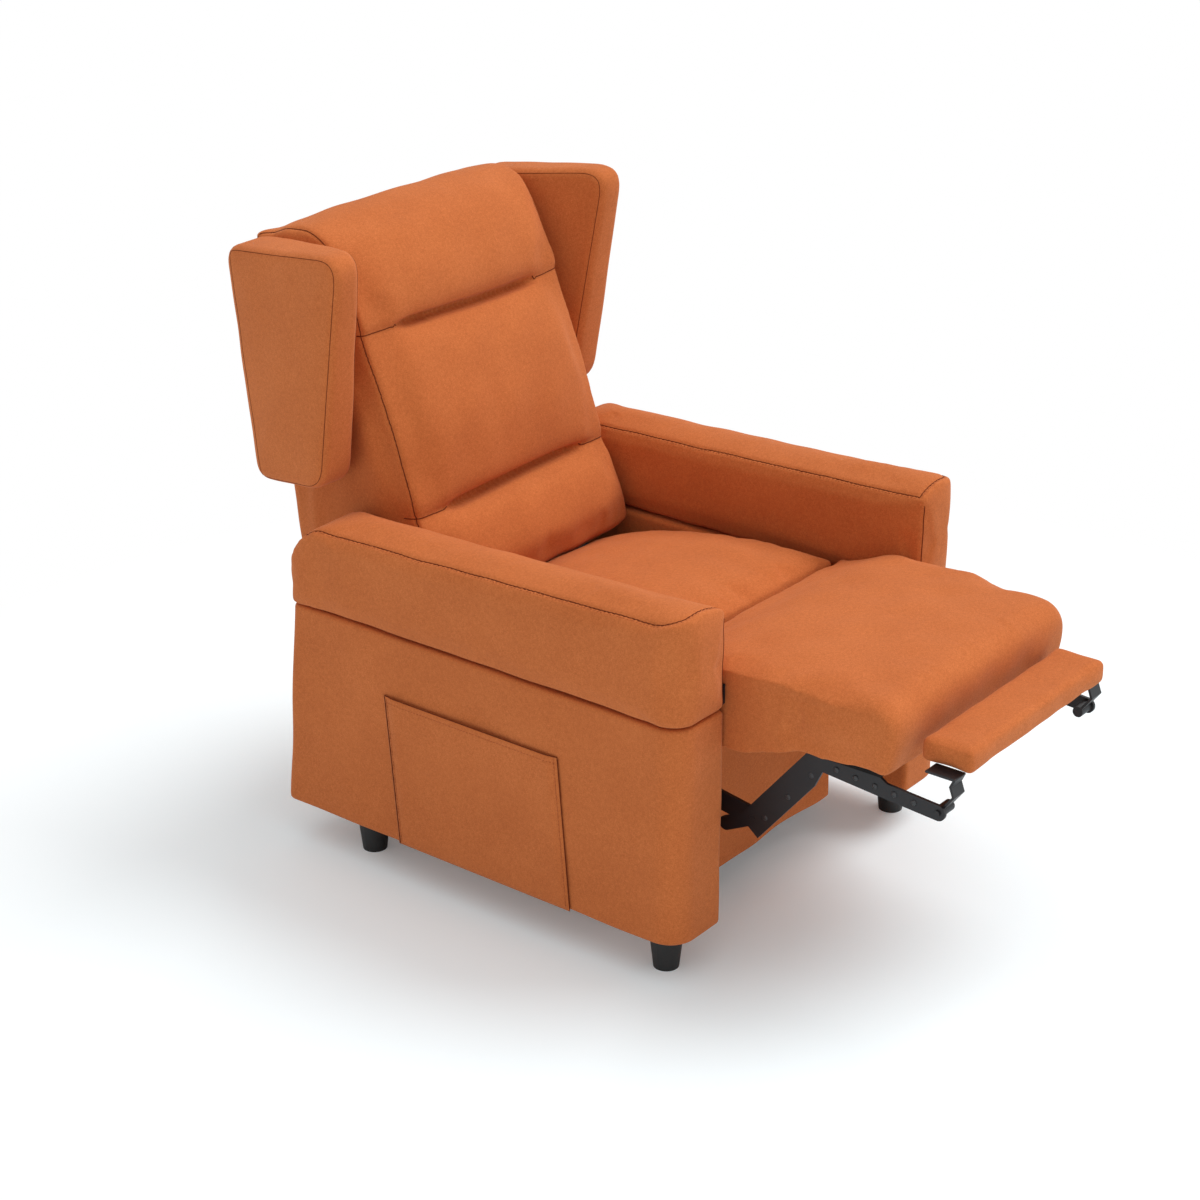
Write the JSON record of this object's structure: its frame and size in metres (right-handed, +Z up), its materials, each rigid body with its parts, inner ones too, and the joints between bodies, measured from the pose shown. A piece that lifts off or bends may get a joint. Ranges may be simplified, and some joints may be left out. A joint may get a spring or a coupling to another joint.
{
  "type": "lift recliner chair",
  "caption": "Upholstered winged recliner armchair on a tilting lift base, with a reclining channelled back, padded arms, a side pocket and a fold-out leg rest with a foot pad.",
  "frame": {"origin": "on the floor, under the middle of the chair's outer box with the leg rest out", "axes": "+X towards the sitter's left arm, +Y towards the back, +Z up"},
  "size_m": [0.8, 1.3654, 1.0634],
  "materials": {
    "orange_weave": "plain weave upholstery",
    "frame_wood": "raw plywood",
    "webbing": "elastic webbing",
    "black_plastic": "moulded",
    "bright_steel": "zinc plated",
    "black_steel": "satin black"
  },
  "bodies": {
    "lift_base": {"base_rail_left": "black_steel", "base_rail_right": "black_steel", "base_front_tube": "black_steel", "base_rear_tube": "black_steel", "base_glides": "black_plastic", "lift_pivot_brackets": "black_steel", "lift_motor_clevis": "black_steel", "control_box": "black_plastic"},
    "front_lift_links": {"front_lift_link_left": "black_steel", "front_lift_link_right": "black_steel", "lift_tie_tube": "black_steel"},
    "rear_lift_links": {"rear_lift_links": "black_steel"},
    "chassis": {"chassis_plate_left": "black_steel", "chassis_plate_right": "black_steel", "chassis_front_tube": "black_steel", "chassis_rear_tube": "black_steel", "chassis_pins": "bright_steel", "motor_ears": "black_steel", "seat_side_rails": "frame_wood", "seat_front_rail": "frame_wood", "seat_rear_rail": "frame_wood", "seat_webbing": "webbing", "seat_cushion": "orange_weave", "knee_cushion": "orange_weave", "arm_panel_left": "orange_weave", "arm_panel_right": "orange_weave", "arm_pad_left": "orange_weave", "arm_pad_right": "orange_weave", "side_pocket": "orange_weave", "arm_feet": "black_plastic", "front_apron": "orange_weave", "rear_panel": "orange_weave", "arm_bolts": "bright_steel"},
    "back": {"back_posts": "frame_wood", "back_top_rail": "frame_wood", "back_bottom_rail": "frame_wood", "back_webbing": "webbing", "rear_cover": "orange_weave", "back_cushion": "orange_weave", "wing_left": "orange_weave", "wing_right": "orange_weave", "back_hinge_plates": "black_steel", "back_motor_lug": "black_steel"},
    "leg_rest": {"leg_rest_board": "frame_wood", "leg_rest_cushion": "orange_weave", "leg_rest_bars": "black_steel", "knee_hinges": "black_steel", "foot_brackets": "black_steel", "foot_pad": "orange_weave"},
    "leg_cranks": {"leg_crank_left": "black_steel", "leg_crank_right": "black_steel", "crank_tube": "black_steel"},
    "push_plates": {"push_plate_left": "black_steel", "push_plate_right": "black_steel"},
    "lift_actuator": {"lift_motor": "black_plastic"},
    "lift_rod": {"lift_motor_rod": "bright_steel"},
    "leg_rest_actuator": {"leg_rest_motor": "black_plastic"},
    "leg_rest_rod": {"leg_rest_motor_rod": "bright_steel"},
    "back_actuator": {"back_motor": "black_plastic"},
    "back_rod": {"back_motor_rod": "bright_steel"}
  },
  "joints": [
    {"name": "lift", "type": "hinge", "parent": "lift_base", "child": "front_lift_links", "pos_m": [0, -0.03365, 0.075], "axis": [1, 0, 0], "range_deg": [0, 50]},
    {"name": "chassis_tilt", "type": "hinge", "parent": "front_lift_links", "child": "chassis", "pos_m": [0, 0.26635, 0.11], "axis": [1, 0, 0], "range_deg": [-25.1, 0.1]},
    {"name": "rear_link_turn", "type": "hinge", "parent": "lift_base", "child": "rear_lift_links", "pos_m": [0, 0.13035, 0.16], "axis": [1, 0, 0], "range_deg": [-0.01, 68.1]},
    {"name": "lift_actuator_turn", "type": "hinge", "parent": "lift_base", "child": "lift_actuator", "pos_m": [0.08, 0.44835, 0.075], "axis": [1, 0, 0], "range_deg": [-7.17, 0.01]},
    {"name": "lift_rod_slide", "type": "slide", "parent": "lift_actuator", "child": "lift_rod", "axis": [0, -0.9479, 0.3185], "range_m": [-0.0001, 0.1918]},
    {"name": "leg_rest_turn", "type": "hinge", "parent": "chassis", "child": "leg_rest", "pos_m": [0, -0.26865, 0.475], "axis": [1, 0, 0], "range_deg": [0, 90]},
    {"name": "leg_crank_turn", "type": "hinge", "parent": "chassis", "child": "leg_cranks", "pos_m": [0, -0.15165, 0.332], "axis": [1, 0, 0], "range_deg": [-0.1, 90.1]},
    {"name": "push_plate_turn", "type": "hinge", "parent": "leg_rest", "child": "push_plates", "pos_m": [0, -0.42565, 0.388], "axis": [1, 0, 0], "range_deg": [-90.1, 0.1]},
    {"name": "leg_rest_actuator_turn", "type": "hinge", "parent": "chassis", "child": "leg_rest_actuator", "pos_m": [-0.08, 0.31635, 0.285], "axis": [1, 0, 0], "range_deg": [-10.25, 0.01]},
    {"name": "leg_rest_rod_slide", "type": "slide", "parent": "leg_rest_actuator", "child": "leg_rest_rod", "axis": [0, -0.9982, -0.0597], "range_m": [-0.0731, 0.0001]},
    {"name": "back_recline", "type": "hinge", "parent": "chassis", "child": "back", "pos_m": [0, 0.49435, 0.33], "axis": [-1, 0, 0], "range_deg": [0, 38]},
    {"name": "back_actuator_turn", "type": "hinge", "parent": "chassis", "child": "back_actuator", "pos_m": [0, 0.14135, 0.215], "axis": [1, 0, 0], "range_deg": [-0.2, 0.01]},
    {"name": "back_rod_slide", "type": "slide", "parent": "back_actuator", "child": "back_rod", "axis": [0, 0.9987, 0.0508], "range_m": [-0.0672, 0.0001]}
  ],
  "couplings": [
    {"joint": "chassis_tilt", "follows": "lift", "ratio": -0.5},
    {"joint": "rear_link_turn", "follows": "lift", "ratio": 1.3618},
    {"joint": "lift_actuator_turn", "follows": "lift", "ratio": -0.14312},
    {"joint": "lift_rod_slide", "follows": "lift", "m_per_rad": 0.21965},
    {"joint": "leg_crank_turn", "follows": "leg_rest_turn", "ratio": 1},
    {"joint": "push_plate_turn", "follows": "leg_rest_turn", "ratio": -1},
    {"joint": "leg_rest_actuator_turn", "follows": "leg_rest_turn", "ratio": -0.11382},
    {"joint": "leg_rest_rod_slide", "follows": "leg_rest_turn", "m_per_rad": -0.046496},
    {"joint": "back_actuator_turn", "follows": "back_recline", "ratio": -0.00498},
    {"joint": "back_rod_slide", "follows": "back_recline", "m_per_rad": -0.10118}
  ]
}
